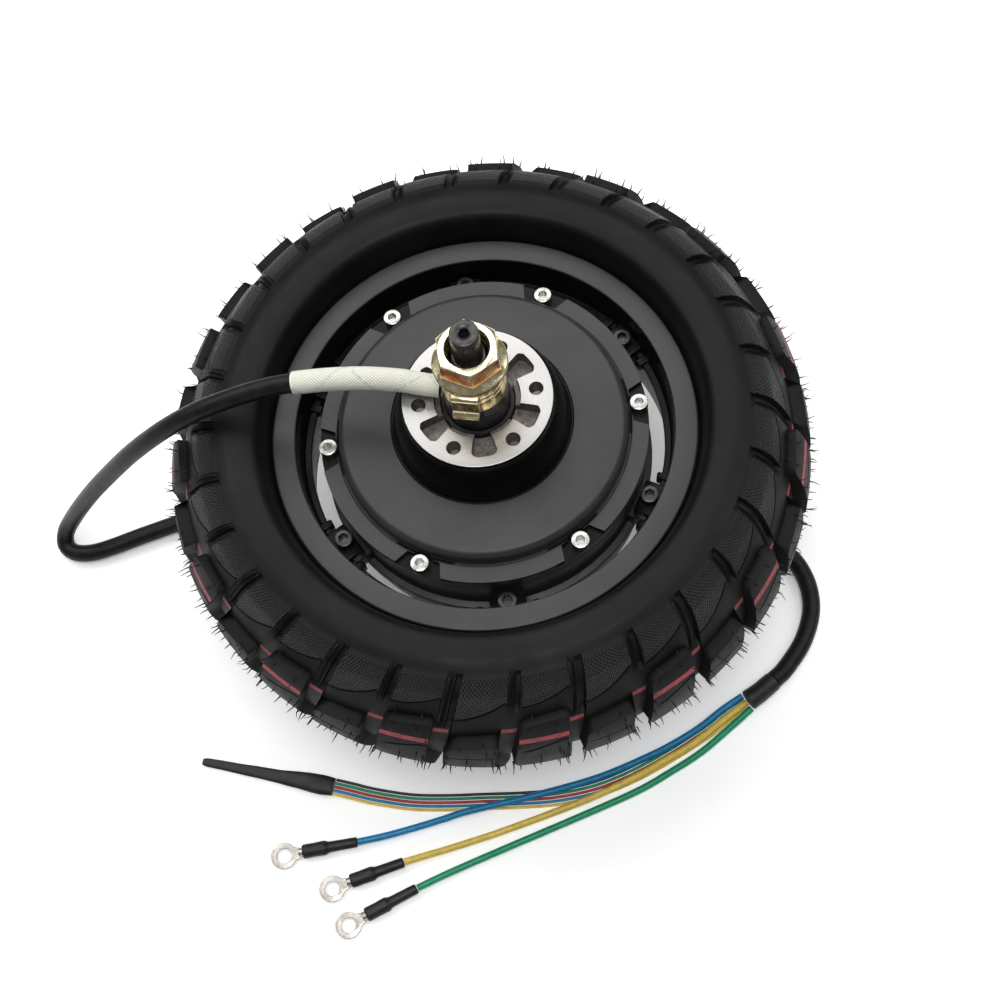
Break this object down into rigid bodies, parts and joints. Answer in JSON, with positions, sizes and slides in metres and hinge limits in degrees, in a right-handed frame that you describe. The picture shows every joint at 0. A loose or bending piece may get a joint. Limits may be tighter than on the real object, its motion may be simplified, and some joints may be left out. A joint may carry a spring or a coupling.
{
  "type": "hub motor wheel",
  "caption": "Pneumatic scooter wheel with a hub motor inside its rim, a threaded axle, a brake disc face and a motor cable with ring terminals.",
  "frame": {"origin": "centre of the wheel: on the axle's axis, halfway across the tyre's width", "axes": "+Z along the axle, out of the side with the brake disc face and the cable; +X through one of the brake disc threads; the cable leaves towards -X"},
  "size_m": [0.327, 0.2973, 0.1744],
  "materials": {
    "tyre_rubber": "matte moulded rubber with two red stripes in the tread",
    "cast_rim": "satin black paint on a casting, turned lip",
    "cast_motor": "satin black paint on a casting; the brake disc face is bare machined aluminium",
    "seal_rubber": "matte black rubber",
    "yoke_steel": "turned steel ring",
    "magnets": "nickel-plated magnets",
    "laminations": "stacked electrical steel",
    "windings": "enamelled copper wire",
    "spider": "machined aluminium",
    "circuit_board": "green solder mask",
    "inner_leads": "sleeved leads",
    "black_axle": "black-oxide steel",
    "yellow_zinc": "yellow zinc plate with a faint rainbow",
    "bearing_steel": "ground bearing steel",
    "bearing_cage": "cage with its balls",
    "stainless": "stainless socket heads",
    "braided_sleeve": "off-white braided glass-fibre sleeve",
    "cable_jacket": "glossy black jacket",
    "heat_shrink": "black heat-shrink tube",
    "wire_blue": "blue insulation",
    "wire_yellow": "yellow insulation",
    "wire_green": "green insulation",
    "wire_red": "red insulation",
    "wire_black": "black insulation",
    "tinned_copper": "tinned copper"
  },
  "bodies": {
    "stator": {"stator_core": "laminations", "windings": "windings", "stator_hub": "spider", "hall_board": "circuit_board", "lead_bundle": "inner_leads", "axle": "black_axle", "front_spacer": "yellow_zinc", "front_washer_inner": "yellow_zinc", "front_washer_outer": "yellow_zinc", "front_tab_washer": "yellow_zinc", "front_nut": "yellow_zinc", "rear_spacer": "black_axle", "rear_tab_washer": "yellow_zinc", "rear_washer": "yellow_zinc", "rear_nut": "yellow_zinc", "front_bearing_inner_race": "bearing_steel", "rear_bearing_inner_race": "bearing_steel", "cable_sleeve": "braided_sleeve", "cable": "cable_jacket", "jacket_collar": "heat_shrink", "hall_sheath": "heat_shrink", "phase_wire_blue": "wire_blue", "phase_wire_yellow": "wire_yellow", "phase_wire_green": "wire_green", "hall_wire_black": "wire_black", "hall_wire_red": "wire_red", "hall_wire_yellow": "wire_yellow", "hall_wire_green": "wire_green", "hall_wire_blue": "wire_blue", "phase_boot_blue": "heat_shrink", "phase_boot_yellow": "heat_shrink", "phase_boot_green": "heat_shrink", "ring_terminal_blue": "tinned_copper", "ring_terminal_yellow": "tinned_copper", "ring_terminal_green": "tinned_copper"},
    "wheel": {"tyre": "tyre_rubber", "rim": "cast_rim", "valve_stem": "seal_rubber", "front_cover": "cast_motor", "motor_casing": "cast_motor", "rotor_yoke": "yoke_steel", "magnet_ring": "magnets", "front_bearing_outer_race": "bearing_steel", "rear_bearing_outer_race": "bearing_steel", "front_seal": "seal_rubber", "rear_seal": "seal_rubber", "cover_screw_1": "stainless", "cover_screw_2": "stainless", "cover_screw_3": "stainless", "cover_screw_4": "stainless", "cover_screw_5": "stainless", "cover_screw_6": "stainless", "rim_bolt_1": "black_axle", "rim_bolt_2": "black_axle", "rim_bolt_3": "black_axle", "rim_bolt_4": "black_axle", "rim_bolt_5": "black_axle", "rim_bolt_6": "black_axle"},
    "front_cage": {"front_bearing_cage": "bearing_cage"},
    "rear_cage": {"rear_bearing_cage": "bearing_cage"}
  },
  "joints": [
    {"name": "wheel_spin", "type": "hinge", "parent": "stator", "child": "wheel", "pos_m": [0, 0, 0], "axis": [0, 0, 1], "continuous": true},
    {"name": "front_cage_spin", "type": "hinge", "parent": "stator", "child": "front_cage", "pos_m": [0, 0, 0.0355], "axis": [0, 0, 1], "continuous": true},
    {"name": "rear_cage_spin", "type": "hinge", "parent": "stator", "child": "rear_cage", "pos_m": [0, 0, -0.0278], "axis": [0, 0, 1], "continuous": true}
  ],
  "couplings": [
    {"joint": "front_cage_spin", "follows": "wheel_spin", "ratio": 0.575},
    {"joint": "rear_cage_spin", "follows": "wheel_spin", "ratio": 0.605}
  ]
}
